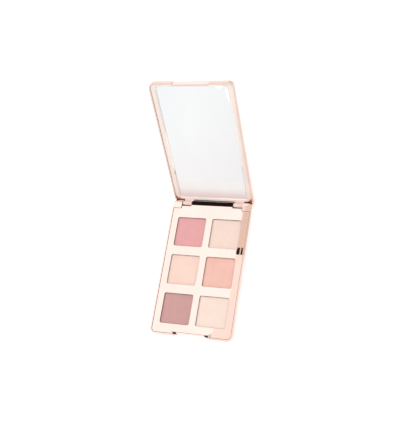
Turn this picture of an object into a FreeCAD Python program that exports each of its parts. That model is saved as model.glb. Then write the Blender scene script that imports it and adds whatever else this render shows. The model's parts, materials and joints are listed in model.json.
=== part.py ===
import FreeCAD, Part
import math
import os

import Sketcher

# Eyeshadow palette with six pressed powders, a mirrored lid and a two-lug hinge.
# Frame: X across the palette, +Y towards the hinge, +Z up, origin at the middle of the
# underside. The lid is modelled shut and then turned open about the hinge axis.

SIZES = {
    # outer case
    "case_width": 65.2,
    "case_length": 108.0,
    "case_corner": 4.4,
    "base_height": 7.8,
    "band_height": 3.6,          # upright band of the base below its rim
    "underside_inset": 2.6,      # how far the tapered underside draws in
    "taper_blend": 3.0,
    "rim_round": 0.3,
    "lid_height": 4.6,
    "lid_edge": 1.2,
    "lid_back_round": 6.0,
    "lid_back_reach": 5.2,       # centre of that round, in from the back
    "parting_gap": 0.2,
    "open_angle": 122.0,
    # base shell
    "wall": 1.3,
    "floor": 1.4,
    "shelf_height": 3.2,         # the cavity is narrower below this ledge
    "shelf_width": 2.0,
    "notch_half": 14.0,
    "notch_depth": 1.7,
    "notch_wall": 0.9,
    "catch_width": 2.8,          # slots at both ends of the notch for the catch nibs
    "catch_bottom": 2.2,
    # hinge: the axis lies this far below the rim and in from the back
    "hinge_drop": 2.8,
    "lug_inner": 17.2,
    "lug_width": 7.5,
    "lug_radius": 2.2,
    "lug_front": 0.8,            # the lug arms reach this far in front of the axis
    "lug_back": 1.35,            # and this far behind it
    "lug_top_gap": 0.2,          # the arms end this far below the back of the lid frame
    "lug_room_depth": 0.4,       # sink in the floor under the lugs
    "post_gap": 0.3,
    "post_depth": 7.4,
    "pin_diameter": 1.6,
    "pin_clearance": 0.05,
    "pin_inner": 18.0,
    "pin_outer": 28.6,
    # deck plate, windows and pans
    "deck_inset": 0.3,
    "deck_thick": 0.5,
    "deck_gap": 0.12,
    "plate_overlap": 1.0,        # how far the rear strips run into the main plate
    "window": 23.2,
    "window_corner": 1.3,
    "window_edge": 0.25,
    "column_pitch": 28.5,
    "row_pitch": 30.5,
    "middle_row": -3.2,
    "lug_pocket": 5.5,           # deck edge at the lugs, in from the back
    "slot_edge": 4.4,            # deck edge between the lugs, in from the back
    "pan": 24.4,
    "pan_height": 3.5,
    "pan_wall": 0.35,
    "well_gap": 0.2,
    "well_floor": 1.3,
    "glue_diameter": 12.0,
    "glue_thick": 0.3,
    # ledge and rib of the tray between the lugs; the rib lies along the hinge axis
    "ledge_height": 1.0,
    "ledge_back": 1.0,
    "rib_front": 0.6,
    "rib_back": 2.2,
    "rib_below": 1.6,
    "rib_above": 1.2,
    # lid frame, mirror and catch tongue
    "frame_back": 2.95,          # where the frame ends, above the lid's rim
    "frame_recess": 0.35,
    "frame_gap": 0.15,
    "mirror_width": 54.5,
    "mirror_front": 3.0,         # frame border in front of the mirror
    "mirror_back": 7.0,          # frame border behind the mirror
    "mirror_corner": 2.0,
    "mirror_recess": 0.95,
    "mirror_thick": 1.1,
    "mirror_gap": 0.1,
    "mirror_lip": 0.9,
    "tape_thick": 0.3,
    "tape_margin": 3.0,
    "relief_round": 4.6,
    "relief_start": 5.1,         # where the frame starts to curve away, in from the back
    "tongue_half": 13.4,
    "tongue_drop": 1.9,
    "tongue_thick": 0.8,
    "tongue_front": 0.65,
    "tongue_overlap": 0.5,       # how far the tongue runs up into its root
    "tongue_root_gap": 0.3,
    "nib_reach": 0.1,
    "nib_width": 1.4,
    "nib_height": 0.5,
    "nib_inset": 0.2,            # from the end of the tongue
}

TOLERANCE = 1e-3                 # for picking edges by their place

doc = FreeCAD.newDocument("eyeshadow_palette")
sheet = doc.addObject("Spreadsheet::Sheet", "sizes")
for row, (alias, value) in enumerate(SIZES.items(), start=1):
    sheet.set("A%d" % row, alias)
    sheet.set("B%d" % row, str(value))
    sheet.setAlias("B%d" % row, alias)
doc.recompute()

# Expressions that several pieces share, all measured in the shut position.
HALF_WIDTH = "sizes.case_width / 2"
BACK = "sizes.case_length / 2"
FRONT = "-sizes.case_length / 2"
RIM = "sizes.base_height"
AXIS_Y = "sizes.case_length / 2 - sizes.hinge_drop"
AXIS_Z = "sizes.base_height - sizes.hinge_drop"
LID_BOTTOM = "sizes.base_height + sizes.parting_gap"
LID_TOP = LID_BOTTOM + " + sizes.lid_height"
FRAME_FACE = LID_BOTTOM + " + sizes.frame_recess"
DECK_TOP = "sizes.base_height - sizes.deck_inset"
DECK_BOTTOM = DECK_TOP + " - sizes.deck_thick"
CAVITY_HALF = HALF_WIDTH + " - sizes.wall"
CAVITY_FRONT = FRONT + " + sizes.wall"
INNER_HALF = CAVITY_HALF + " - sizes.deck_gap"
INNER_FRONT = CAVITY_FRONT + " + sizes.deck_gap"
INNER_CORNER = "sizes.case_corner - sizes.wall - sizes.deck_gap"
LUG_OUTER = "sizes.lug_inner + sizes.lug_width"
POST_INNER = LUG_OUTER + " + sizes.post_gap"
POST_FRONT = BACK + " - sizes.post_depth"
BOSS_HALF = "sizes.notch_half + sizes.notch_wall"
BOSS_BACK = FRONT + " + sizes.notch_depth + sizes.notch_wall"
SHELF = "sizes.floor + sizes.shelf_height"
WELL_FLOOR_TOP = "sizes.floor + sizes.well_floor"
PAN_BOTTOM = WELL_FLOOR_TOP + " + sizes.glue_thick"
MIRROR_FRONT = FRONT + " + sizes.mirror_front"
MIRROR_BACK = BACK + " - sizes.mirror_back"
LEDGE_BACK = AXIS_Y + " + sizes.ledge_back"
FAR = "sizes.case_length"


# ---- modelling helpers -------------------------------------------------------------

def new_body(label):
    body = doc.addObject("PartDesign::Body", label)
    body.Label = label
    return body


def new_sketch(body, name, role, offset):
    """A sketch on one of the body's own origin planes, moved along its normal."""
    sketch = body.newObject("Sketcher::SketchObject", name)
    plane = [item for item in body.Origin.OriginFeatures if item.Role == role][0]
    sketch.AttachmentSupport = [(plane, "")]
    sketch.MapMode = "FlatFace"
    sketch.setExpression("AttachmentOffset.Base.z", offset)
    return sketch


def place_point(sketch, geometry, point, across, along):
    """Dimension one point from the sketch origin."""
    for kind, expression in (("DistanceX", across), ("DistanceY", along)):
        if expression is None:
            continue
        number = sketch.addConstraint(Sketcher.Constraint(kind, geometry, point, 1.0))
        sketch.setExpression("Constraints[%d]" % number, expression)


def draw_rectangle(sketch, low_x, high_x, low_y, high_y):
    corners = [(-1, -1), (1, -1), (1, 1), (-1, 1)]
    points = [FreeCAD.Vector(x, y, 0) for x, y in corners]
    first = sketch.GeometryCount
    for index in range(4):
        line = Part.LineSegment(points[index], points[(index + 1) % 4])
        sketch.addGeometry(line, False)
    for index in range(4):
        following = first + (index + 1) % 4
        sketch.addConstraint(Sketcher.Constraint("Coincident", first + index, 2, following, 1))
    for index, kind in enumerate(("Horizontal", "Vertical", "Horizontal", "Vertical")):
        sketch.addConstraint(Sketcher.Constraint(kind, first + index))
    place_point(sketch, first, 1, low_x, low_y)
    place_point(sketch, first + 2, 1, high_x, high_y)


def draw_circle(sketch, across, along, radius):
    circle = Part.Circle(FreeCAD.Vector(1, 1, 0), FreeCAD.Vector(0, 0, 1), 1.0)
    index = sketch.addGeometry(circle, False)
    place_point(sketch, index, 3, across, along)
    number = sketch.addConstraint(Sketcher.Constraint("Radius", index, 1.0))
    sketch.setExpression("Constraints[%d]" % number, radius)


def pad(body, name, sketch, length):
    feature = body.newObject("PartDesign::Pad", name)
    feature.Profile = sketch
    feature.setExpression("Length", length)
    return feature


def pocket(body, name, sketch, length, both_ways=False):
    """Cut against the sketch normal, or evenly to both sides of the sketch."""
    feature = body.newObject("PartDesign::Pocket", name)
    feature.Profile = sketch
    if both_ways:
        feature.SideType = "Symmetric"
    feature.setExpression("Length", length)
    return feature


def add_block(body, name, low_x, high_x, low_y, high_y, low_z, high_z):
    sketch = new_sketch(body, name + "_sketch", "XY_Plane", low_z)
    draw_rectangle(sketch, low_x, high_x, low_y, high_y)
    return pad(body, name, sketch, "(%s) - (%s)" % (high_z, low_z))


def cut_block(body, name, low_x, high_x, low_y, high_y, low_z, high_z):
    sketch = new_sketch(body, name + "_sketch", "XY_Plane", high_z)
    draw_rectangle(sketch, low_x, high_x, low_y, high_y)
    return pocket(body, name, sketch, "(%s) - (%s)" % (high_z, low_z))


def add_bar(body, name, along, up, radius, start_x, length):
    """A round bar along X."""
    sketch = new_sketch(body, name + "_sketch", "YZ_Plane", start_x)
    draw_circle(sketch, along, up, radius)
    return pad(body, name, sketch, length)


def cut_bar(body, name, along, up, radius, end_x, length):
    """A round hole along X, cut back from end_x."""
    sketch = new_sketch(body, name + "_sketch", "YZ_Plane", end_x)
    draw_circle(sketch, along, up, radius)
    return pocket(body, name, sketch, length)


def cut_round(body, name, centre_y, centre_z, radius, width, upward):
    """Round off a back edge, which runs along X, with a quarter circle.

    Everything outside the quarter is cut away: above it and behind it when upward is
    true, below it and behind it otherwise."""
    sketch = new_sketch(body, name + "_sketch", "YZ_Plane", "0")
    side = 1 if upward else -1
    start, end = (0.0, math.pi / 2) if upward else (-math.pi / 2, 0.0)
    circle = Part.Circle(FreeCAD.Vector(0, 0, 0), FreeCAD.Vector(0, 0, 1), 1.0)
    arc = sketch.addGeometry(Part.ArcOfCircle(circle, start, end), False)
    back_end, edge_end = (1, 2) if upward else (2, 1)
    outline = [(0, side), (0, 2 * side), (2, 2 * side), (2, 0), (1, 0)]
    points = [FreeCAD.Vector(y, z, 0) for y, z in outline]
    lines = []
    for near, far in zip(points, points[1:]):
        lines.append(sketch.addGeometry(Part.LineSegment(near, far), False))
    for near, far in zip(lines, lines[1:]):
        sketch.addConstraint(Sketcher.Constraint("Coincident", near, 2, far, 1))
    sketch.addConstraint(Sketcher.Constraint("Coincident", arc, edge_end, lines[0], 1))
    sketch.addConstraint(Sketcher.Constraint("Coincident", arc, back_end, lines[3], 2))
    for line, kind in zip(lines, ("Vertical", "Horizontal", "Vertical", "Horizontal")):
        sketch.addConstraint(Sketcher.Constraint(kind, line))
    place_point(sketch, arc, 3, centre_y, centre_z)
    number = sketch.addConstraint(Sketcher.Constraint("Radius", arc, 1.0))
    sketch.setExpression("Constraints[%d]" % number, radius)
    place_point(sketch, arc, edge_end, centre_y, None)
    place_point(sketch, arc, back_end, None, centre_z)
    reach = " + " if upward else " - "
    far_y = "%s + 2 * (%s)" % (centre_y, radius)
    far_z = "%s%s2 * (%s)" % (centre_z, reach, radius)
    place_point(sketch, lines[1], 2, far_y, far_z)
    return pocket(body, name, sketch, width, both_ways=True)


def edge_names(shape, wanted):
    return ["Edge%d" % (index + 1) for index, edge in enumerate(shape.Edges) if wanted(edge)]


def is_upright(edge):
    box = edge.BoundBox
    return box.XLength < TOLERANCE and box.YLength < TOLERANCE


def at_height(height):
    def wanted(edge):
        box = edge.BoundBox
        return abs(box.ZMin - height) < TOLERANCE and abs(box.ZMax - height) < TOLERANCE
    return wanted


def dress_up(body, kind, name, size, wanted):
    """A fillet or chamfer on the chosen edges of the body as it is so far."""
    doc.recompute()
    base = body.Tip
    names = edge_names(base.Shape, wanted)
    if not names:
        raise RuntimeError("no edges for " + name)
    feature = body.newObject("PartDesign::" + kind, name)
    feature.Base = (base, names)
    feature.setExpression("Size" if kind == "Chamfer" else "Radius", size)
    return feature


def outer_corners(edge):
    """The four upright edges of the case outline."""
    side_gap = abs(abs(edge.BoundBox.Center.x) - SIZES["case_width"] / 2)
    return is_upright(edge) and side_gap < TOLERANCE


def front_corners(half_width):
    """The upright edges at both front corners of a piece or cavity this wide."""
    def wanted(edge):
        middle = edge.BoundBox.Center
        at_side = abs(abs(middle.x) - half_width) < TOLERANCE
        return is_upright(edge) and at_side and middle.y < -SIZES["case_length"] / 4
    return wanted


# ---- base --------------------------------------------------------------------------

def make_base_shell():
    body = new_body("base_shell")
    add_block(body, "slab", "-" + HALF_WIDTH, HALF_WIDTH, FRONT, BACK, "0", RIM)
    cut_block(body, "cavity", "-(%s)" % CAVITY_HALF, CAVITY_HALF, CAVITY_FRONT, POST_FRONT,
              SHELF, RIM)
    dress_up(body, "Fillet", "cavity_corners", "sizes.case_corner - sizes.wall",
             front_corners(SIZES["case_width"] / 2 - SIZES["wall"]))
    dress_up(body, "Fillet", "case_corners", "sizes.case_corner", outer_corners)
    taper = dress_up(body, "Chamfer", "underside_taper", "sizes.underside_inset", at_height(0))
    taper.ChamferType = "Two distances"
    taper.setExpression("Size2", "sizes.base_height - sizes.band_height")
    taper.FlipDirection = True
    band_edge = SIZES["base_height"] - SIZES["band_height"]
    dress_up(body, "Fillet", "taper_blend", "sizes.taper_blend", at_height(band_edge))
    dress_up(body, "Fillet", "rim_round", "sizes.rim_round", at_height(SIZES["base_height"]))
    lower_half = CAVITY_HALF + " - sizes.shelf_width"
    cut_block(body, "lower_cavity", "-(%s)" % lower_half, lower_half,
              CAVITY_FRONT + " + sizes.shelf_width", POST_FRONT, "sizes.floor", SHELF)
    add_block(body, "notch_boss", "-(%s)" % BOSS_HALF, BOSS_HALF, CAVITY_FRONT, BOSS_BACK,
              "sizes.floor", RIM + " - sizes.rim_round")
    cut_block(body, "thumb_notch", "-sizes.notch_half", "sizes.notch_half",
              FRONT + " - sizes.wall", FRONT + " + sizes.notch_depth", "0", FAR)
    for side, low in (("left", "-sizes.notch_half"),
                      ("right", "sizes.notch_half - sizes.catch_width")):
        cut_block(body, "catch_slot_" + side, low, low + " + sizes.catch_width", FRONT,
                  CAVITY_FRONT + " + sizes.shelf_width", "sizes.catch_bottom", FAR)
    cut_block(body, "hinge_bay", "-(%s)" % POST_INNER, POST_INNER, POST_FRONT, FAR,
              "sizes.floor", FAR)
    for side, low, high in (("left", "-(%s)" % POST_INNER, "-sizes.lug_inner"),
                            ("right", "sizes.lug_inner", POST_INNER)):
        cut_block(body, "lug_room_" + side, low, high, AXIS_Y, FAR,
                  "sizes.floor - sizes.lug_room_depth", "sizes.floor")
    cut_round(body, "knuckle", AXIS_Y, AXIS_Z, "sizes.hinge_drop", "2 * sizes.case_width", True)
    for side, end in (("left", "-(%s)" % POST_INNER), ("right", "sizes.pin_outer")):
        cut_bar(body, "pin_hole_" + side, AXIS_Y, AXIS_Z, "sizes.pin_diameter / 2", end,
                "sizes.pin_outer - (%s)" % POST_INNER)
    return body


def window_centres():
    """Name, column and row of each window, from the back left."""
    for row, row_name in ((1, "back"), (0, "middle"), (-1, "front")):
        for column, column_name in ((-1, "left"), (1, "right")):
            yield row_name + "_" + column_name, column, row


def square_cuts(body, name, side, low_z, high_z):
    """One square opening for each window position."""
    for place, column, row in window_centres():
        centre_x = "(%d * sizes.column_pitch / 2)" % column
        centre_y = "(sizes.middle_row + %d * sizes.row_pitch)" % row
        cut_block(body, name + "_" + place,
                  "%s - %s / 2" % (centre_x, side), "%s + %s / 2" % (centre_x, side),
                  "%s - %s / 2" % (centre_y, side), "%s + %s / 2" % (centre_y, side),
                  low_z, high_z)


def inside_windows(side):
    """Upright edges at the corners of the square openings."""
    def wanted(edge):
        middle = edge.BoundBox.Center
        if not is_upright(edge):
            return False
        for _, column, row in window_centres():
            across = abs(middle.x - column * SIZES["column_pitch"] / 2)
            along = abs(middle.y - SIZES["middle_row"] - row * SIZES["row_pitch"])
            if abs(across - side / 2) < TOLERANCE and abs(along - side / 2) < TOLERANCE:
                return True
        return False
    return wanted


def cut_round_boss(body):
    """Room for the wall behind the thumb notch."""
    cut_block(body, "boss_room", "-(%s) - sizes.deck_gap" % BOSS_HALF,
              BOSS_HALF + " + sizes.deck_gap", FRONT, BOSS_BACK + " + sizes.deck_gap",
              "0", FAR)


def make_pan_tray():
    body = new_body("pan_tray")
    side = "(sizes.pan + 2 * sizes.well_gap)"
    lower_half = INNER_HALF + " - sizes.shelf_width"
    add_block(body, "slab", "-(%s)" % INNER_HALF, INNER_HALF, INNER_FRONT,
              POST_FRONT + " - sizes.deck_gap", SHELF, DECK_BOTTOM)
    inner_half = SIZES["case_width"] / 2 - SIZES["wall"] - SIZES["deck_gap"]
    dress_up(body, "Fillet", "slab_corners", INNER_CORNER, front_corners(inner_half))
    add_block(body, "lower_slab", "-(%s)" % lower_half, lower_half,
              INNER_FRONT + " + sizes.shelf_width", POST_FRONT + " - sizes.deck_gap",
              "sizes.floor", SHELF)
    add_block(body, "rear_ledge", "-sizes.lug_inner + sizes.post_gap",
              "sizes.lug_inner - sizes.post_gap", POST_FRONT + " - 2 * sizes.deck_gap",
              LEDGE_BACK, "sizes.floor", "sizes.floor + sizes.ledge_height")
    add_block(body, "slot_wall", "-sizes.lug_inner + sizes.post_gap",
              "sizes.lug_inner - sizes.post_gap", AXIS_Y + " - sizes.rib_front",
              LEDGE_BACK, "sizes.floor", AXIS_Z)
    add_block(body, "slot_rib", "-sizes.lug_inner + sizes.post_gap",
              "sizes.lug_inner - sizes.post_gap", AXIS_Y + " - sizes.rib_front",
              AXIS_Y + " + sizes.rib_back", AXIS_Z + " - sizes.rib_below",
              AXIS_Z + " + sizes.rib_above")
    add_block(body, "deck_ledge", "-(%s) + sizes.post_gap" % POST_INNER,
              POST_INNER + " - sizes.post_gap", POST_FRONT + " - 2 * sizes.deck_gap",
              BACK + " - sizes.lug_pocket - sizes.deck_gap", "sizes.floor", DECK_BOTTOM)
    square_cuts(body, "well", side, WELL_FLOOR_TOP, DECK_BOTTOM)
    cut_round_boss(body)
    pad_width = "(sizes.catch_width - 2 * sizes.deck_gap)"
    for side_name, low in (("left", "-sizes.notch_half + sizes.deck_gap"),
                           ("right", "sizes.notch_half - sizes.deck_gap - " + pad_width)):
        add_block(body, "catch_pad_" + side_name, low, low + " + " + pad_width,
                  BOSS_BACK + " + sizes.deck_gap",
                  INNER_FRONT + " + sizes.shelf_width + sizes.deck_gap",
                  "sizes.catch_bottom + sizes.deck_gap", SHELF)
    opening = SIZES["pan"] + 2 * SIZES["well_gap"]
    dress_up(body, "Fillet", "well_corners", "sizes.window_corner + sizes.well_gap",
             inside_windows(opening))
    return body


def make_deck_plate():
    body = new_body("deck_plate")
    add_block(body, "plate", "-(%s)" % INNER_HALF, INNER_HALF, INNER_FRONT,
              POST_FRONT + " - sizes.deck_gap", DECK_BOTTOM, DECK_TOP)
    inner_half = SIZES["case_width"] / 2 - SIZES["wall"] - SIZES["deck_gap"]
    dress_up(body, "Fillet", "plate_corners", INNER_CORNER, front_corners(inner_half))
    add_block(body, "rear_plate", "-(%s) + sizes.post_gap" % POST_INNER,
              POST_INNER + " - sizes.post_gap", POST_FRONT + " - 2 * sizes.deck_gap",
              BACK + " - sizes.lug_pocket", DECK_BOTTOM, DECK_TOP)
    add_block(body, "slot_plate", "-sizes.lug_inner + sizes.deck_gap",
              "sizes.lug_inner - sizes.deck_gap",
              BACK + " - sizes.lug_pocket - sizes.plate_overlap",
              BACK + " - sizes.slot_edge", DECK_BOTTOM, DECK_TOP)
    square_cuts(body, "window", "sizes.window", DECK_BOTTOM, DECK_TOP)
    cut_round_boss(body)
    dress_up(body, "Fillet", "window_corners", "sizes.window_corner",
             inside_windows(SIZES["window"]))
    deck_top = SIZES["base_height"] - SIZES["deck_inset"]
    dress_up(body, "Fillet", "deck_edges", "sizes.window_edge", at_height(deck_top))
    return body


def place_at_window(body, column, row):
    body.setExpression("Placement.Base.x", "%d * sizes.column_pitch / 2" % column)
    body.setExpression("Placement.Base.y", "sizes.middle_row + %d * sizes.row_pitch" % row)


def make_pan(place, column, row):
    body = new_body("pan_" + place)
    half = "sizes.pan / 2"
    add_block(body, "tin", "-" + half, half, "-" + half, half, PAN_BOTTOM,
              PAN_BOTTOM + " + sizes.pan_height")
    inner = "(%s - sizes.pan_wall)" % half
    cut_block(body, "bowl", "-" + inner, inner, "-" + inner, inner,
              PAN_BOTTOM + " + sizes.pan_wall", PAN_BOTTOM + " + sizes.pan_height")
    reach = SIZES["pan"] / 2 - SIZES["pan_wall"]

    def bowl_corner(edge):
        middle = edge.BoundBox.Center
        return is_upright(edge) and abs(abs(middle.x) - reach) < TOLERANCE
    dress_up(body, "Fillet", "bowl_corners", "sizes.window_corner - sizes.pan_wall",
             bowl_corner)
    dress_up(body, "Fillet", "tin_corners", "sizes.window_corner",
             lambda edge: is_upright(edge)
             and abs(abs(edge.BoundBox.Center.x) - SIZES["pan"] / 2) < TOLERANCE)
    place_at_window(body, column, row)
    return body


def make_powder(place, column, row):
    body = new_body("powder_" + place)
    half = "(sizes.pan / 2 - sizes.pan_wall)"
    add_block(body, "cake", "-" + half, half, "-" + half, half,
              PAN_BOTTOM + " + sizes.pan_wall", PAN_BOTTOM + " + sizes.pan_height")
    dress_up(body, "Fillet", "cake_corners", "sizes.window_corner - sizes.pan_wall",
             is_upright)
    place_at_window(body, column, row)
    return body


def make_pan_glue(place, column, row):
    glue = doc.addObject("Part::Cylinder", "pan_glue_" + place)
    glue.Label = "pan_glue_" + place
    glue.setExpression("Radius", "sizes.glue_diameter / 2")
    glue.setExpression("Height", "sizes.glue_thick")
    glue.setExpression("Placement.Base.z", WELL_FLOOR_TOP)
    place_at_window(glue, column, row)
    return glue


def make_hinge_pin(side):
    pin = doc.addObject("Part::Cylinder", "hinge_pin_" + side)
    pin.Label = "hinge_pin_" + side
    pin.setExpression("Radius", "sizes.pin_diameter / 2")
    pin.setExpression("Height", "sizes.pin_outer - sizes.pin_inner")
    pin.Placement.Rotation = FreeCAD.Rotation(FreeCAD.Vector(0, 1, 0), 90)
    start = "sizes.pin_inner" if side == "right" else "-sizes.pin_outer"
    pin.setExpression("Placement.Base.x", start)
    pin.setExpression("Placement.Base.y", AXIS_Y)
    pin.setExpression("Placement.Base.z", AXIS_Z)
    return pin


# ---- lid, modelled shut ------------------------------------------------------------

def make_lid_cover():
    body = new_body("lid_cover")
    lid_top = SIZES["base_height"] + SIZES["parting_gap"] + SIZES["lid_height"]
    add_block(body, "slab", "-" + HALF_WIDTH, HALF_WIDTH, FRONT, BACK, LID_BOTTOM, LID_TOP)
    cavity_top = LID_BOTTOM + " + sizes.frame_back"
    cavity = "(%s)" % CAVITY_HALF
    sketch = new_sketch(body, "cavity_sketch", "XY_Plane", cavity_top)
    draw_rectangle(sketch, "-" + cavity, cavity, CAVITY_FRONT, BACK + " - sizes.wall")
    pocket(body, "cavity", sketch, "sizes.frame_back")
    cavity_half = SIZES["case_width"] / 2 - SIZES["wall"]
    dress_up(body, "Fillet", "cavity_corners", "sizes.case_corner - sizes.wall",
             lambda edge: is_upright(edge)
             and abs(abs(edge.BoundBox.Center.x) - cavity_half) < TOLERANCE)
    dress_up(body, "Fillet", "case_corners", "sizes.case_corner", outer_corners)
    dress_up(body, "Fillet", "lid_edge", "sizes.lid_edge", at_height(lid_top))
    cut_round(body, "lid_back", BACK + " - sizes.lid_back_reach",
              LID_TOP + " - sizes.lid_back_round", "sizes.lid_back_round",
              "2 * sizes.case_width", True)
    notch_back = FRONT + " + sizes.tongue_front + sizes.post_gap"
    cut_block(body, "lid_notch", "-sizes.notch_half", "sizes.notch_half",
              FRONT + " - sizes.wall", notch_back, LID_BOTTOM, FAR)
    cut_block(body, "tongue_window", "-sizes.notch_half", "sizes.notch_half", FRONT,
              CAVITY_FRONT + " + sizes.deck_gap", "0", cavity_top)
    return body


def make_lid_frame():
    body = new_body("lid_frame")
    frame_face = SIZES["base_height"] + SIZES["parting_gap"] + SIZES["frame_recess"]
    frame_back = LID_BOTTOM + " + sizes.frame_back"
    half = "(%s - sizes.frame_gap)" % CAVITY_HALF
    add_block(body, "plate", "-" + half, half, CAVITY_FRONT + " + sizes.frame_gap",
              BACK + " - sizes.wall - sizes.frame_gap", FRAME_FACE, frame_back)
    dress_up(body, "Fillet", "plate_corners",
             "sizes.case_corner - sizes.wall - sizes.frame_gap", is_upright)
    opening = "(sizes.mirror_width / 2)"
    depth = "sizes.mirror_recess + sizes.mirror_thick + sizes.tape_thick"
    sketch = new_sketch(body, "mirror_seat_sketch", "XY_Plane", FRAME_FACE + " + " + depth)
    draw_rectangle(sketch, "-" + opening, opening, MIRROR_FRONT, MIRROR_BACK)
    pocket(body, "mirror_seat", sketch, depth)
    dress_up(body, "Fillet", "seat_corners", "sizes.mirror_corner",
             lambda edge: is_upright(edge)
             and abs(abs(edge.BoundBox.Center.x) - SIZES["mirror_width"] / 2) < TOLERANCE)

    def seat_mouth(edge):
        box = edge.BoundBox
        inside = abs(box.Center.x) < SIZES["mirror_width"] / 2 + TOLERANCE
        inside = inside and box.YMin > -SIZES["case_length"] / 2 + SIZES["mirror_front"] - TOLERANCE
        inside = inside and box.YMax < SIZES["case_length"] / 2 - SIZES["mirror_back"] + TOLERANCE
        return at_height(frame_face)(edge) and inside
    dress_up(body, "Chamfer", "mirror_lip", "sizes.mirror_lip", seat_mouth)
    cut_round(body, "hinge_relief", BACK + " - sizes.relief_start",
              FRAME_FACE + " + sizes.relief_round", "sizes.relief_round",
              "2 * sizes.case_width", False)
    tongue_front = FRONT + " + sizes.tongue_front"
    tongue_back = tongue_front + " + sizes.tongue_thick"
    tongue_tip = LID_BOTTOM + " - sizes.tongue_drop"
    add_block(body, "tongue_root", "-sizes.notch_half + sizes.frame_gap",
              "sizes.notch_half - sizes.frame_gap", tongue_front,
              CAVITY_FRONT + " + 2 * sizes.frame_gap",
              LID_BOTTOM + " + sizes.tongue_root_gap",
              frame_back + " - sizes.mirror_gap")
    add_block(body, "tongue", "-sizes.tongue_half", "sizes.tongue_half", tongue_front,
              tongue_back, tongue_tip, LID_BOTTOM + " + sizes.tongue_overlap")
    for side, low in (("left", "-sizes.tongue_half + sizes.nib_inset"),
                      ("right", "sizes.tongue_half - sizes.nib_inset - sizes.nib_width")):
        add_block(body, "tongue_nib_" + side, low, low + " + sizes.nib_width",
                  tongue_front + " + sizes.tongue_thick / 2",
                  tongue_back + " + sizes.nib_reach", tongue_tip,
                  tongue_tip + " + sizes.nib_height")
    for side, low in (("left", "-(%s)" % LUG_OUTER), ("right", "sizes.lug_inner")):
        add_block(body, "lug_arm_" + side, low, low + " + sizes.lug_width",
                  AXIS_Y + " - sizes.lug_front", AXIS_Y + " + sizes.lug_back", AXIS_Z,
                  frame_back + " - sizes.lug_top_gap")
        add_bar(body, "lug_barrel_" + side, AXIS_Y, AXIS_Z, "sizes.lug_radius", low,
                "sizes.lug_width")
    for side, high in (("left", "-sizes.lug_inner"), ("right", LUG_OUTER)):
        cut_bar(body, "lug_bore_" + side, AXIS_Y, AXIS_Z,
                "sizes.pin_diameter / 2 + sizes.pin_clearance", high, "sizes.lug_width")
    return body


def make_mirror_sheet(label, margin, low_z, thickness):
    body = new_body(label)
    half = "(sizes.mirror_width / 2 - %s)" % margin
    add_block(body, "sheet", "-" + half, half, "%s + %s" % (MIRROR_FRONT, margin),
              "%s - %s" % (MIRROR_BACK, margin), low_z, "%s + %s" % (low_z, thickness))
    dress_up(body, "Fillet", "sheet_corners", "sizes.mirror_corner - sizes.mirror_gap",
             is_upright)
    return body


def open_lid(pieces):
    """Turn the shut lid open about the hinge axis."""
    axis_y = SIZES["case_length"] / 2 - SIZES["hinge_drop"]
    axis_z = SIZES["base_height"] - SIZES["hinge_drop"]
    turn = FreeCAD.Rotation(FreeCAD.Vector(1, 0, 0), -SIZES["open_angle"])
    centre = FreeCAD.Vector(0, axis_y, axis_z)
    for piece in pieces:
        piece.Placement = FreeCAD.Placement(FreeCAD.Vector(0, 0, 0), turn, centre)


base_pieces = [make_base_shell(), make_pan_tray(), make_deck_plate()]
for place, column, row in window_centres():
    base_pieces.append(make_pan(place, column, row))
    base_pieces.append(make_powder(place, column, row))
    base_pieces.append(make_pan_glue(place, column, row))
for side in ("left", "right"):
    base_pieces.append(make_hinge_pin(side))

MIRROR_FACE = FRAME_FACE + " + sizes.mirror_recess"
lid_pieces = [
    make_lid_cover(),
    make_lid_frame(),
    make_mirror_sheet("mirror", "sizes.mirror_gap", MIRROR_FACE, "sizes.mirror_thick"),
    make_mirror_sheet("mirror_tape", "sizes.tape_margin", MIRROR_FACE + " + sizes.mirror_thick",
                      "sizes.tape_thick"),
]
open_lid(lid_pieces)
doc.recompute()

for item in doc.Objects:
    if "Invalid" in item.State or "Error" in item.State:
        raise RuntimeError("%s failed: %s" % (item.Name, item.State))
for piece in base_pieces + lid_pieces:
    if piece.Shape.isNull() or not piece.Shape.isValid() or len(piece.Shape.Solids) != 1:
        raise RuntimeError("%s has no single valid solid" % piece.Label)

os.makedirs("parts", exist_ok=True)
for piece in base_pieces + lid_pieces:
    piece.Shape.exportStep(os.path.join("parts", piece.Label + ".step"))
    print("%-26s %8.1f mm3" % (piece.Label, piece.Shape.Volume))
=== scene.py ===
"""Looks of the eyeshadow palette: materials, pressed powders, studio and camera."""
import json
import math

import bmesh
import bpy
from mathutils import Euler, Matrix, Vector, noise


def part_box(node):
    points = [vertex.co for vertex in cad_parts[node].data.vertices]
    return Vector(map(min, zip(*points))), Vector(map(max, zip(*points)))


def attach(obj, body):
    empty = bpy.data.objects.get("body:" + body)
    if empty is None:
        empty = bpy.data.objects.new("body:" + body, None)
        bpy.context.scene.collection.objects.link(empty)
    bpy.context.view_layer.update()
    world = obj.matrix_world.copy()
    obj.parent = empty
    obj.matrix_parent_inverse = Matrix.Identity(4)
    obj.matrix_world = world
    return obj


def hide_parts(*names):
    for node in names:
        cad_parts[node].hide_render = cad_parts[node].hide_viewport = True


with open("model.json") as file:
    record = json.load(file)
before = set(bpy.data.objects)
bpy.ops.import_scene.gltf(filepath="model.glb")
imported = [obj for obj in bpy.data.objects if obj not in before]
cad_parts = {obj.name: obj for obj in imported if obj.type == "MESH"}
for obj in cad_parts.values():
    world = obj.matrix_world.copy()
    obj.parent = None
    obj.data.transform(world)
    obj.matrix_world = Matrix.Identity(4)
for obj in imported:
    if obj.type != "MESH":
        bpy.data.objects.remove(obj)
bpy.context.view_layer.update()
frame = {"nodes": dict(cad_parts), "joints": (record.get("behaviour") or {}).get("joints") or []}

NODES = frame["nodes"]
MM = 0.001

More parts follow.
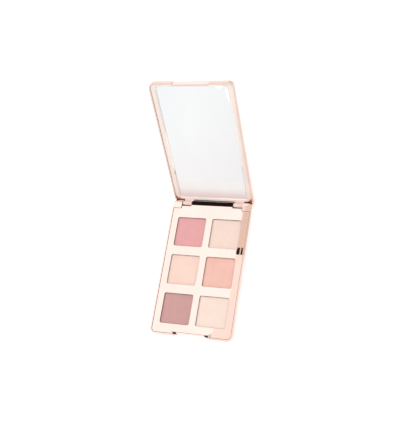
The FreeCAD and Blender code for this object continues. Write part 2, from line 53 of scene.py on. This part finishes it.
# Camera: where it stands, which way it looks and how it is turned about its own axis.
CAMERA_PLACE = (190.73 * MM, -134.72 * MM, 522.19 * MM)
CAMERA_AZIMUTH = 49.048       # degrees from +Y towards -X
CAMERA_DROP = 62.960          # degrees below the horizon
CAMERA_ROLL = -42.497
SENSOR = 36.0
FOCAL_IN_IMAGE_HEIGHTS = 1.69003
CLIP_NEAR = 0.01
CLIP_FAR = 20


# ---- node helpers ------------------------------------------------------------------

# Fractal noise stays mostly between these two values.
NOISE_LOW = 0.3
NOISE_HIGH = 0.7


def colour_output(mix_node):
    """The colour socket of a Mix node that is set to mix colours."""
    return [out for out in mix_node.outputs if out.type == "RGBA"][0]


class Shader:
    """A Principled material with helpers for the procedural detail that feeds it."""

    def __init__(self, name, **constants):
        self.material = bpy.data.materials.new(name)
        self.material.use_nodes = True
        self.nodes = self.material.node_tree.nodes
        self.links = self.material.node_tree.links
        self.bsdf = self.nodes["Principled BSDF"]
        for socket, value in constants.items():
            self.bsdf.inputs[socket.replace("_", " ")].default_value = value
        coordinates = self.nodes.new("ShaderNodeTexCoord").outputs
        self.place = coordinates["Object"]
        self.own_normal = coordinates["Normal"]

    def link(self, source, target):
        self.links.new(source, target)

    def noise(self, size, detail=3.0, roughness=0.5, stretch=(1, 1, 1)):
        """Noise in the object's own space whose features are about size metres."""
        mapping = self.nodes.new("ShaderNodeMapping")
        mapping.inputs["Scale"].default_value = stretch
        texture = self.nodes.new("ShaderNodeTexNoise")
        texture.inputs["Scale"].default_value = 1.0 / size
        texture.inputs["Detail"].default_value = detail
        texture.inputs["Roughness"].default_value = roughness
        self.link(self.place, mapping.inputs["Vector"])
        self.link(mapping.outputs["Vector"], texture.inputs["Vector"])
        return texture.outputs["Fac"]

    def cells(self, size):
        """Random colour per cell of about size metres."""
        texture = self.nodes.new("ShaderNodeTexVoronoi")
        texture.inputs["Scale"].default_value = 1.0 / size
        self.link(self.place, texture.inputs["Vector"])
        return texture.outputs["Color"]

    def tones(self, source, low_colour, high_colour):
        """One colour where the noise is low, another where it is high."""
        ramp = self.nodes.new("ShaderNodeValToRGB")
        low, high = ramp.color_ramp.elements
        low.position, low.color = NOISE_LOW, (*low_colour, 1)
        high.position, high.color = NOISE_HIGH, (*high_colour, 1)
        self.link(source, ramp.inputs["Fac"])
        return ramp.outputs["Color"]

    def spread(self, source, low, high, start=NOISE_LOW, stop=NOISE_HIGH):
        """Maps a value from start..stop to low..high."""
        node = self.nodes.new("ShaderNodeMapRange")
        for socket, value in (("From Min", start), ("From Max", stop),
                              ("To Min", low), ("To Max", high)):
            node.inputs[socket].default_value = value
        self.link(source, node.inputs["Value"])
        return node.outputs["Result"]

    def beyond(self, direction, start, stop):
        """0 before start and 1 after stop, measured along a direction in metres."""
        along = self.nodes.new("ShaderNodeVectorMath")
        along.operation = "DOT_PRODUCT"
        along.inputs[1].default_value = direction
        self.link(self.place, along.inputs[0])
        return self.spread(along.outputs["Value"], 0.0, 1.0, start, stop)

    def within(self, limits):
        """1 beyond every limit given as (direction, start, stop)."""
        inside = None
        for limit in limits:
            mask = self.beyond(*limit)
            if inside is not None:
                both = self.nodes.new("ShaderNodeMath")
                both.operation = "MULTIPLY"
                self.link(inside, both.inputs[0])
                self.link(mask, both.inputs[1])
                mask = both.outputs["Value"]
            inside = mask
        return inside

    def mix(self, factor, first, second):
        """Goes from the first colour socket to the second colour, a constant."""
        node = self.nodes.new("ShaderNodeMix")
        node.data_type = "RGBA"
        self.link(factor, node.inputs["Factor"])
        self.link(first, node.inputs["A"])
        node.inputs["B"].default_value = (*second, 1)
        return colour_output(node)

    def bump(self, *layers):
        """Stacks (height source, depth in metres, strength) into the normal."""
        previous = None
        for height, depth, strength in layers:
            node = self.nodes.new("ShaderNodeBump")
            node.inputs["Distance"].default_value = depth
            node.inputs["Strength"].default_value = strength
            self.link(height, node.inputs["Height"])
            if previous is not None:
                self.link(previous, node.inputs["Normal"])
            previous = node.outputs["Normal"]
        self.link(previous, self.bsdf.inputs["Normal"])

    def colour(self, source):
        self.link(source, self.bsdf.inputs["Base Color"])

    def roughness(self, source):
        self.link(source, self.bsdf.inputs["Roughness"])


def shade(colour, factor):
    return tuple(min(1.0, channel * factor) for channel in colour)


# ---- materials ---------------------------------------------------------------------

# Feature sizes and depths of the surfaces. A drift is a slow change of tone.
SHELL_DRIFT = 18 * MM
SHELL_SPECK = 0.35 * MM
SHELL_SPECK_DEPTH = 0.004 * MM
SHELL_SMUDGE = 2.5 * MM
ORANGE_PEEL = 3.2 * MM
ORANGE_PEEL_DEPTH = 0.02 * MM
POWDER_DRIFT = 7 * MM
POWDER_GRAIN = 0.16 * MM
POWDER_GRAIN_DEPTH = 0.03 * MM
FLAKE = 0.13 * MM
FLAKE_DEPTH = 0.01 * MM
FLAKE_EDGE = 0.001            # of the range of random values, so that flakes end sharply
TRAY_GRAIN = 0.25 * MM
TRAY_GRAIN_DEPTH = 0.02 * MM
WIPING_MARK = 9 * MM
DRAWN_LINE = 0.2 * MM
DRAWN_LINE_DEPTH = 0.005 * MM
FIBRE = 0.5 * MM
FIBRE_DEPTH = 0.02 * MM
# Level faces keep their colour; upright faces, such as the deck's window walls, take a painted
# shade.
UPRIGHT, LEVEL = 0.5, 0.9     # upward part of the normal on cut edges and on level faces


def metallised_plastic(name, colour, rough_low, rough_high, metal=1.0, ripple=0.35,
                       regions=(), painted_wall_shade=None):
    """Vacuum-metallised moulding: a tinted metal skin with faint orange peel.

    Each region is (limits, colour): it takes its colour beyond all of its limits, which are
    (direction, start, stop). Upright faces take the colour given last, a painted shade."""
    shader = Shader(name, Metallic=metal, Coat_Weight=0.25, Coat_Roughness=0.04)
    drift = shader.noise(SHELL_DRIFT, detail=2)
    speck = shader.noise(SHELL_SPECK, detail=4)
    tint = shader.tones(drift, shade(colour, 0.97), shade(colour, 1.02))
    for limits, region_colour in regions:
        tint = shader.mix(shader.within(limits), tint, region_colour)
    # Painted shade: upright faces darken towards the given colour, standing in for the shade on
    # the window walls.
    if painted_wall_shade:
        facing = shader.nodes.new("ShaderNodeSeparateXYZ")
        shader.link(shader.own_normal, facing.inputs["Vector"])
        upright = shader.spread(facing.outputs["Z"], 1.0, 0.0, UPRIGHT, LEVEL)
        tint = shader.mix(upright, tint, painted_wall_shade)
    shader.colour(shader.mix(shader.spread(speck, 0.0, 0.06), tint, shade(colour, 0.8)))
    smudge = shader.noise(SHELL_SMUDGE, detail=4)
    shader.roughness(shader.spread(smudge, rough_low, rough_high))
    shader.bump((shader.noise(ORANGE_PEEL, detail=1), ORANGE_PEEL_DEPTH, ripple),
                (speck, SHELL_SPECK_DEPTH, 0.7 * ripple))
    return shader.material


def pressed_powder(name, colour, shimmer):
    """Pressed powder: soft grain, drifting tone and, where it shimmers, mica flakes."""
    shader = Shader(name, Sheen_Weight=0.12, Sheen_Roughness=0.5)
    drift = shader.noise(POWDER_DRIFT, detail=3)
    grain = shader.noise(POWDER_GRAIN, detail=5, roughness=0.7)
    tone = shader.tones(drift, shade(colour, 0.965), shade(colour, 1.03))
    grained = shader.mix(shader.spread(grain, 0.0, 0.3), tone, shade(colour, 0.84))
    flakes = shader.nodes.new("ShaderNodeSeparateColor")
    shader.link(shader.cells(FLAKE), flakes.inputs["Color"])
    rarest = 1.0 - shimmer
    chosen = shader.spread(flakes.outputs["Red"], 0.0, 1.0, rarest, rarest + FLAKE_EDGE)
    shader.colour(shader.mix(chosen, grained, shade(colour, 1.12)))
    shader.link(shader.spread(chosen, 0.0, 0.7, 0.0, 1.0), shader.bsdf.inputs["Metallic"])
    shader.roughness(shader.spread(chosen, 0.82, 0.34, 0.0, 1.0))
    shader.bump((grain, POWDER_GRAIN_DEPTH, 0.5), (flakes.outputs["Green"], FLAKE_DEPTH, 0.3))
    return shader.material


def moulded_black():
    """Matte tray plastic with a fine spark-eroded texture."""
    shader = Shader("tray_black", Specular_IOR_Level=0.06)
    grain = shader.noise(TRAY_GRAIN, detail=5, roughness=0.65)
    shader.colour(shader.tones(grain, (0.003, 0.0015, 0.0015), (0.009, 0.005, 0.005)))
    shader.roughness(shader.spread(grain, 0.45, 0.62))
    shader.bump((grain, TRAY_GRAIN_DEPTH, 0.6))
    return shader.material


def silvered_glass():
    """Mirror glass: clean, with barely visible wiping marks."""
    shader = Shader("mirror_silver", Metallic=1.0)
    marks = shader.noise(WIPING_MARK, detail=5, stretch=(1.0, 0.35, 0.35))
    shader.colour(shader.tones(marks, (0.945, 0.955, 0.96), (0.965, 0.965, 0.965)))
    shader.roughness(shader.spread(marks, 0.0, 0.012))
    return shader.material


def drawn_metal(name, colour, rough):
    """Drawn or pressed sheet metal with fine lengthwise lines."""
    shader = Shader(name, Metallic=1.0)
    lines = shader.noise(DRAWN_LINE, detail=4, stretch=(0.08, 1, 1))
    shader.colour(shader.tones(lines, shade(colour, 0.9), colour))
    shader.roughness(shader.spread(lines, rough * 0.8, rough * 1.25))
    shader.bump((lines, DRAWN_LINE_DEPTH, 0.4))
    return shader.material


def glue_or_tape(name, colour):
    """Hidden fixings: waxy glue and paper tape, with a fibrous tone."""
    shader = Shader(name, Specular_IOR_Level=0.4)
    fibre = shader.noise(FIBRE, detail=5, roughness=0.7)
    shader.colour(shader.tones(fibre, shade(colour, 0.88), colour))
    shader.roughness(shader.spread(fibre, 0.5, 0.75))
    shader.bump((fibre, FIBRE_DEPTH, 0.4))
    return shader.material


PALE_GOLD = (0.93, 0.71, 0.64)
ROSE_PINK = (0.88, 0.66, 0.61)
SHELL_GOLD = (0.90, 0.71, 0.64)
COVER_GOLD = (0.93, 0.69, 0.61)
# Painted shade for the upright walls of the deck's windows.
SHADED_WALL_COLOUR = (0.22, 0.17, 0.17)
CREAM_PEARL = (0.99, 0.86, 0.79)
# Painted shade in the gaps by the hinge: red at the lid's corners, dark brown beside the lugs.
PAINTED_SHADE_RED = (0.42, 0.11, 0.10)
PAINTED_SHADE_BROWN = (0.07, 0.022, 0.012)
POWDERS = {
    # place: (colour, share of shimmering flakes)
    "back_left": ((0.83, 0.40, 0.40), 0.01),
    "back_right": ((0.93, 0.72, 0.62), 0.10),
    "middle_left": ((0.99, 0.71, 0.61), 0.03),
    "middle_right": ((0.94, 0.55, 0.46), 0.02),
    "front_left": ((0.64, 0.35, 0.33), 0.01),
    "front_right": ((1.0, 0.785, 0.675), 0.04),
}

# Places on the lid in the rest pose, where it stands open. Both directions lie in the
# plane that the hinge turns in: out of the lid's face, and down the lid to the hinge.
HINGE = frame["joints"][0]
HINGE_AXIS = Vector(HINGE["pos_m"])
OPEN_LID = math.radians(-HINGE["range_deg"][0])
OUT_OF_LID = Vector((0, -math.sin(OPEN_LID), -math.cos(OPEN_LID)))
TO_HINGE = Vector((0, math.cos(OPEN_LID), -math.sin(OPEN_LID)))
LID_FACE = HINGE_AXIS.dot(OUT_OF_LID) - 3.25 * MM
LID_FACE_BLEND = 0.15 * MM
HINGE_END = HINGE_AXIS.dot(TO_HINGE) - 2.1 * MM
HINGE_END_BLEND = 0.3 * MM
LUG_OUTER = 24.75 * MM        # from the middle of the palette
LUG_BLEND = 0.1 * MM
LID_CORNER = HINGE_AXIS.dot(TO_HINGE) + 25.1 * MM
LID_CORNER_BLEND = 1.4 * MM


def lid_frame_painted_shade_and_tints():
    """Painted shade, red at the lid's corners by the hinge and dark brown in the gaps beside the
    lugs; and rosier lugs and catch tongue.
    """
    regions = []
    for side in (-1, 1):
        across = Vector((side, 0, 0))
        corner = (TO_HINGE + across, LID_CORNER, LID_CORNER + LID_CORNER_BLEND)
        hinge_end = (TO_HINGE, HINGE_END, HINGE_END + HINGE_END_BLEND)
        past_lug = (across, LUG_OUTER, LUG_OUTER + LUG_BLEND)
        # Painted shade: red at the corner, dark brown in the gap beside the lug.
        regions.append(([corner], PAINTED_SHADE_RED))
        regions.append(([hinge_end, past_lug], PAINTED_SHADE_BROWN))
    regions.append(([(OUT_OF_LID, LID_FACE, LID_FACE + LID_FACE_BLEND)], ROSE_PINK))
    return regions


NODE_MATERIALS = {
    "base_shell": metallised_plastic("rose_gold_shell", SHELL_GOLD, 0.03, 0.06),
    "lid_cover": metallised_plastic("rose_gold_cover", COVER_GOLD, 0.03, 0.06),
    "deck_plate": metallised_plastic("rose_gold_deck", PALE_GOLD, 0.008, 0.02, ripple=0.03,
                                     painted_wall_shade=SHADED_WALL_COLOUR),
    "lid_frame": metallised_plastic("cream_pearl_frame", CREAM_PEARL, 0.05, 0.09, metal=0.45,
                                    regions=lid_frame_painted_shade_and_tints()),
    "pan_tray": moulded_black(),
    "mirror": silvered_glass(),
    "mirror_tape": glue_or_tape("paper_tape", (0.86, 0.85, 0.82)),
}
pan_material = drawn_metal("pan_tin", (0.78, 0.77, 0.75), 0.32)
pin_material = drawn_metal("pin_steel", (0.62, 0.61, 0.60), 0.25)
glue_material = glue_or_tape("hot_glue", (0.80, 0.76, 0.66))
for side in ("left", "right"):
    NODE_MATERIALS["hinge_pin_" + side] = pin_material
for place in POWDERS:
    NODE_MATERIALS["pan_" + place] = pan_material
    NODE_MATERIALS["pan_glue_" + place] = glue_material
for node, material in NODE_MATERIALS.items():
    mesh = NODES[node].data
    mesh.materials.clear()
    mesh.materials.append(material)


# ---- softened edges on the moulded pieces ------------------------------------------

SAME_POINT = 0.001 * MM
SHARP_EDGE = math.radians(35)
EDGE_ROUNDS = {
    "lid_frame": 0.18 * MM,
    "lid_cover": 0.12 * MM,
    "base_shell": 0.1 * MM,
    "hinge_pin_left": 0.15 * MM,
    "hinge_pin_right": 0.15 * MM,
}


def soften(node, width):
    """Small rounds on the sharp edges that a moulding has; the CAD mesh is kept."""
    piece = NODES[node]
    weld = piece.modifiers.new("weld", "WELD")
    weld.merge_threshold = SAME_POINT
    bevel = piece.modifiers.new("rounds", "BEVEL")
    bevel.width = width
    bevel.segments = 2
    bevel.limit_method = "ANGLE"
    bevel.angle_limit = SHARP_EDGE
    bevel.harden_normals = True


for node, width in EDGE_ROUNDS.items():
    soften(node, width)


# ---- pressed powders ---------------------------------------------------------------

CAKE_CELLS = 72
CAKE_CORNER = 0.95 * MM
CAKE_EDGE = 0.22 * MM         # radius of the crumbled edge
CAKE_WAVE = 0.035 * MM        # unevenness of the pressed face
CAKE_WAVES_PER_MM = 0.16
CAKE_GRAIN = 0.012 * MM
CAKE_GRAINS_PER_MM = 2.4
CAKE_NOISE_LAYER = 3.0
CAKE_SHARP_EDGE = math.radians(50)


def into_rounded_square(across, along, half, corner):
    """Moves a point of a square grid to the same place in a square with round corners."""
    ring = max(abs(across), abs(along)) / half
    straight = ring * (half - corner)
    over_x = abs(across) - straight
    over_y = abs(along) - straight
    if over_x <= 0 or over_y <= 0:
        return across, along
    pull = max(over_x, over_y) / math.hypot(over_x, over_y)
    return (math.copysign(straight + over_x * pull, across),
            math.copysign(straight + over_y * pull, along))


def unevenness(spot, rate):
    """Noise from 0 to 1 at a spot in millimetres."""
    return 0.5 + 0.5 * noise.noise(spot * rate)


def cake_face(cake, low, high):
    """The grid of points of a cake's face, which dips at its edge; returns its rows."""
    centre = (low + high) / 2
    half = (high.x - low.x) / 2
    seed = Vector((centre.x / MM, centre.y / MM, CAKE_NOISE_LAYER))
    grid = []
    for row in range(CAKE_CELLS + 1):
        line = []
        for column in range(CAKE_CELLS + 1):
            across = half * (2 * column / CAKE_CELLS - 1)
            along = half * (2 * row / CAKE_CELLS - 1)
            edge = half - max(abs(across), abs(along))
            x, y = into_rounded_square(across, along, half, CAKE_CORNER)
            spot = Vector((x / MM, y / MM, 0)) + seed
            drop = CAKE_WAVE * unevenness(spot, CAKE_WAVES_PER_MM)
            drop += CAKE_GRAIN * unevenness(spot, CAKE_GRAINS_PER_MM)
            if edge < CAKE_EDGE:
                drop += CAKE_EDGE - math.sqrt(CAKE_EDGE ** 2 - (CAKE_EDGE - edge) ** 2)
            line.append(cake.verts.new((centre.x + x, centre.y + y, high.z - drop)))
        grid.append(line)
    return grid


def powder_cake(place, material):
    """A pressed cake that fills its pan, with a slightly uneven face and soft edges."""
    low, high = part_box("powder_" + place)
    cake = bmesh.new()
    grid = cake_face(cake, low, high)
    for row in range(CAKE_CELLS):
        for column in range(CAKE_CELLS):
            cake.faces.new((grid[row][column], grid[row][column + 1],
                            grid[row + 1][column + 1], grid[row + 1][column]))
    rim = [edge for edge in cake.edges if edge.is_boundary]
    wall = bmesh.ops.extrude_edge_only(cake, edges=rim)["geom"]
    for vertex in [item for item in wall if isinstance(item, bmesh.types.BMVert)]:
        vertex.co.z = low.z
    foot = [item for item in wall if isinstance(item, bmesh.types.BMEdge)]
    bmesh.ops.contextual_create(cake, geom=[edge for edge in foot if edge.is_boundary])
    bmesh.ops.recalc_face_normals(cake, faces=cake.faces)
    mesh = bpy.data.meshes.new("cake_" + place)
    cake.to_mesh(mesh)
    cake.free()
    for face in mesh.polygons:
        face.use_smooth = len(face.vertices) == 4
    mesh.set_sharp_from_angle(angle=CAKE_SHARP_EDGE)
    mesh.materials.append(material)
    piece = bpy.data.objects.new("cake_" + place, mesh)
    bpy.context.scene.collection.objects.link(piece)
    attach(piece, "base")
    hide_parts("powder_" + place)


for place, (colour, shimmer) in POWDERS.items():
    powder_cake(place, pressed_powder("powder_" + place, colour, shimmer))


# ---- studio ------------------------------------------------------------------------

def flat_piece(name, corners, material):
    """A flat piece of the studio; the corners are in millimetres."""
    mesh = bpy.data.meshes.new(name)
    mesh.from_pydata([Vector(corner) * MM for corner in corners], [],
                     [tuple(range(len(corners)))])
    mesh.materials.append(material)
    piece = bpy.data.objects.new(name, mesh)
    bpy.context.scene.collection.objects.link(piece)
    return piece


def glow_material(name, colour, strength, gradients, one_sided):
    """Even light, or light coloured by gradients; a one-sided card is clear from behind."""
    material = bpy.data.materials.new(name)
    material.use_nodes = True
    nodes = material.node_tree.nodes
    links = material.node_tree.links
    nodes.clear()
    glow = nodes.new("ShaderNodeEmission")
    glow.inputs["Color"].default_value = (*colour, 1)
    glow.inputs["Strength"].default_value = strength
    tint = None
    for axis, stops in gradients:
        tint = gradient(nodes, links, axis, stops, tint)
        links.new(tint, glow.inputs["Color"])
    surface = glow.outputs["Emission"]
    if one_sided:
        facing = nodes.new("ShaderNodeNewGeometry")
        clear = nodes.new("ShaderNodeBsdfTransparent")
        choice = nodes.new("ShaderNodeMixShader")
        links.new(facing.outputs["Backfacing"], choice.inputs[0])
        links.new(surface, choice.inputs[1])
        links.new(clear.outputs["BSDF"], choice.inputs[2])
        surface = choice.outputs["Shader"]
    out = nodes.new("ShaderNodeOutputMaterial")
    links.new(surface, out.inputs["Surface"])
    return material


def gradient(nodes, links, axis, stops, tint):
    """Colour by the card's own place along an axis, over the tint that is already there.

    The stops are (millimetres, colour)."""
    place = nodes.new("ShaderNodeTexCoord").outputs["Object"]
    split = nodes.new("ShaderNodeSeparateXYZ")
    span = nodes.new("ShaderNodeMapRange")
    ramp = nodes.new("ShaderNodeValToRGB")
    (first, first_colour), *between, (last, last_colour) = stops
    span.inputs["From Min"].default_value = first * MM
    span.inputs["From Max"].default_value = last * MM
    links.new(place, split.inputs["Vector"])
    links.new(split.outputs[axis], span.inputs["Value"])
    links.new(span.outputs["Result"], ramp.inputs["Fac"])
    elements = ramp.color_ramp.elements
    elements[0].color = (*first_colour, 1)
    elements[1].color = (*last_colour, 1)
    for stop, colour in between:
        elements.new((stop - first) / (last - first)).color = (*colour, 1)
    if tint is None:
        return ramp.outputs["Color"]
    both = nodes.new("ShaderNodeMix")
    both.data_type = "RGBA"
    both.blend_type = "MULTIPLY"
    both.inputs["Factor"].default_value = 1.0
    links.new(tint, both.inputs["A"])
    links.new(ramp.outputs["Color"], both.inputs["B"])
    return colour_output(both)


def card(name, corners, colour=(1, 1, 1), strength=1.0, gradients=(), one_sided=False):
    """A flat glowing card that is only seen in reflections, if one-sided from its front."""
    material = glow_material(name, colour, strength, gradients, one_sided)
    piece = flat_piece(name, corners, material)
    piece.visible_camera = False
    piece.visible_diffuse = False
    piece.visible_shadow = False


def overhead_card(name, outline, colour, strength=1.0):
    card(name, [(x, y, OVERHEAD) for x, y in outline], colour, strength)


def upright_card(name, y, outline, **looks):
    card(name, [(x, y, z) for x, z in outline], **looks)


# Places in the studio are in millimetres, from the middle of the palette's underside.
FLOOR_HALF = 40000
FLOOR_DROP = 0.02             # the floor lies this far under the palette
OVERHEAD = 900                # height of the cards above the palette

floor_shader = Shader("floor_white", Roughness=0.9, Specular_IOR_Level=0.1)
floor_shader.bsdf.inputs["Base Color"].default_value = (0.93, 0.93, 0.93, 1)
floor_shader.bsdf.inputs["Emission Color"].default_value = (1, 1, 1, 1)
floor_shader.bsdf.inputs["Emission Strength"].default_value = 0.45
flat_piece("floor", [(x * FLOOR_HALF, y * FLOOR_HALF, -FLOOR_DROP)
                     for x, y in ((-1, -1), (1, -1), (1, 1), (-1, 1))], floor_shader.material)

# What the deck mirrors: a white overhead card, its warm end, and a strip between the
# warm end and a shaded card, with two dark gaps. The seam parts white from warm.
SEAM_FRONT, SEAM_MIDDLE, SEAM_BACK = (-285, 100), (-265, 159), (-260, 178)
STRIP_FRONT, STRIP_BACK = 266, 281
SHADE_LEFT, SHADE_RIGHT, SHADE_BACK = -261, -200, 700
SHADE_CORNER = (-255, SHADE_BACK)
CARDS_FRONT = -300
STUDIO_WHITE = (1.0, 0.985, 0.985)
STUDIO_WARM = (0.975, 0.895, 0.865)
STUDIO_SHADE = (0.88, 0.76, 0.68)
STRIP_BEIGE = (0.88, 0.80, 0.74)
STRIP_DARK = (0.02, 0.012, 0.012)
STRIP = (
    # name, left end, right end, colour
    ("overhead_gap", SHADE_LEFT, -254, STRIP_DARK),
    ("overhead_bar", -254, -251.5, STRIP_BEIGE),
    ("overhead_slit", -251.5, -247.5, STRIP_DARK),
    ("overhead_end", -247.5, -180, STRIP_BEIGE),
)

overhead_card("overhead_white", [(-900, CARDS_FRONT), SEAM_FRONT, SEAM_MIDDLE, SEAM_BACK,
                                 (SHADE_LEFT, STRIP_BACK), SHADE_CORNER, (-900, 900)],
              STUDIO_WHITE, 1.30)
overhead_card("overhead_warm", [SEAM_FRONT, (-340, CARDS_FRONT), (200, CARDS_FRONT),
                                (200, STRIP_FRONT), (SHADE_LEFT, STRIP_FRONT), SEAM_BACK,
                                SEAM_MIDDLE], STUDIO_WARM, 1.18)
overhead_card("overhead_shade", [(SHADE_LEFT, STRIP_BACK), (SHADE_RIGHT, STRIP_BACK),
                                 (SHADE_RIGHT, SHADE_BACK), SHADE_CORNER], STUDIO_SHADE)
for name, left, right, colour in STRIP:
    overhead_card(name, [(left, STRIP_FRONT), (right, STRIP_FRONT), (right, STRIP_BACK),
                         (left, STRIP_BACK)], colour)

# What the lid's mirror shows: a tall card in front, whiter to the left, with two small
# glints just behind it, and low down a card behind the hinge slot instead of the deck.
FRONT_CARD_Y, FRONT_CARD_LEFT, FRONT_CARD_RIGHT, FRONT_CARD_TOP = -70, -420, 260, 330
GLINT_Y = -69
GLINT_STRENGTH = 1.08
LOW_CARD_Y, LOW_CARD_HALF = 53.7, 70
LOW_CARD_FOOT, LOW_CARD_TOP = 4.4, 18.5
ACROSS_FRONT = (
    (-105, (0.955, 0.98, 0.985)), (-70, (0.99, 0.99, 0.99)),
    (-20, (0.95, 0.95, 0.955)), (60, (0.90, 0.90, 0.90)),
)
UP_FRONT = ((0, (0.985, 0.945, 0.94)), (60, (1, 1, 1)))
MAUVE = (0.80, 0.64, 0.62)
UP_LOW_CARD = (
    (5.5, (1.0, 1.0, 1.0)), (5.6, MAUVE), (6.4, MAUVE),
    (7.2, (0.83, 0.64, 0.63)), (8.7, (0.87, 0.70, 0.69)), (10.3, (0.895, 0.80, 0.765)),
    (11.9, (0.92, 0.86, 0.82)), (13.4, (0.965, 0.91, 0.87)),
    (15.0, (0.965, 0.91, 0.895)), (LOW_CARD_TOP, (0.965, 0.93, 0.92)),
)

upright_card("front_card", FRONT_CARD_Y,
             [(FRONT_CARD_LEFT, 0), (FRONT_CARD_RIGHT, 0),
              (FRONT_CARD_RIGHT, FRONT_CARD_TOP), (FRONT_CARD_LEFT, FRONT_CARD_TOP)],
             gradients=(("X", ACROSS_FRONT), ("Z", UP_FRONT)))
upright_card("low_card", LOW_CARD_Y,
             [(LOW_CARD_HALF, LOW_CARD_FOOT), (-LOW_CARD_HALF, LOW_CARD_FOOT),
              (-LOW_CARD_HALF, LOW_CARD_TOP), (LOW_CARD_HALF, LOW_CARD_TOP)],
             gradients=(("Z", UP_LOW_CARD),), one_sided=True)
upright_card("glint_top", GLINT_Y, [(-47, 101), (-41, 96.5), (-38, 97.5), (-35, 100.5)],
             strength=GLINT_STRENGTH)
upright_card("glint_side", GLINT_Y, [(-34, 97), (-28, 97), (-28, 84), (-30, 84), (-33, 90)],
             strength=GLINT_STRENGTH)

SOFTBOX_PLACE = (-0.25, 0.1, 0.95)
SOFTBOX_SIZE = 0.9
SOFTBOX_WATTS = 5.0

softbox_light = bpy.data.lights.new("softbox", "AREA")
softbox_light.shape = "RECTANGLE"
softbox_light.size = SOFTBOX_SIZE
softbox_light.size_y = SOFTBOX_SIZE
softbox_light.energy = SOFTBOX_WATTS
softbox = bpy.data.objects.new("softbox", softbox_light)
softbox.location = SOFTBOX_PLACE
softbox.rotation_euler = (-softbox.location).to_track_quat("-Z", "Y").to_euler()
softbox.visible_glossy = False
softbox.visible_camera = False
bpy.context.scene.collection.objects.link(softbox)

# The light that the world gives; reflections and the open background are brighter.
WORLD_LIGHT = 0.62
MORE_IN_REFLECTIONS = 0.23
MORE_IN_VIEW = 0.38

world = bpy.data.worlds.new("studio")
world.use_nodes = True
world_nodes = world.node_tree.nodes
world_links = world.node_tree.links
sky = world_nodes["Background"]
sky.inputs["Color"].default_value = (1.0, 0.99, 0.98, 1)
ray = world_nodes.new("ShaderNodeLightPath")
in_reflections = world_nodes.new("ShaderNodeMath")
in_reflections.operation = "MULTIPLY_ADD"
in_reflections.inputs[1].default_value = MORE_IN_REFLECTIONS
in_reflections.inputs[2].default_value = WORLD_LIGHT
in_view = world_nodes.new("ShaderNodeMath")
in_view.operation = "MULTIPLY_ADD"
in_view.inputs[1].default_value = MORE_IN_VIEW
world_links.new(ray.outputs["Is Glossy Ray"], in_reflections.inputs[0])
world_links.new(ray.outputs["Is Camera Ray"], in_view.inputs[0])
world_links.new(in_reflections.outputs["Value"], in_view.inputs[2])
world_links.new(in_view.outputs["Value"], sky.inputs["Strength"])
bpy.context.scene.world = world
bpy.context.scene.view_settings.view_transform = "Standard"


# ---- camera ------------------------------------------------------------------------

camera_data = bpy.data.cameras.new("camera")
camera_data.sensor_width = SENSOR
camera_data.lens = SENSOR * FOCAL_IN_IMAGE_HEIGHTS
camera_data.clip_start = CLIP_NEAR
camera_data.clip_end = CLIP_FAR
camera = bpy.data.objects.new("camera", camera_data)
turn = Euler((math.radians(90 - CAMERA_DROP), 0, math.radians(CAMERA_AZIMUTH)), "XYZ")
roll = Matrix.Rotation(math.radians(CAMERA_ROLL), 4, "Z")
camera.matrix_world = Matrix.Translation(CAMERA_PLACE) @ turn.to_matrix().to_4x4() @ roll
bpy.context.scene.collection.objects.link(camera)
bpy.context.scene.camera = camera
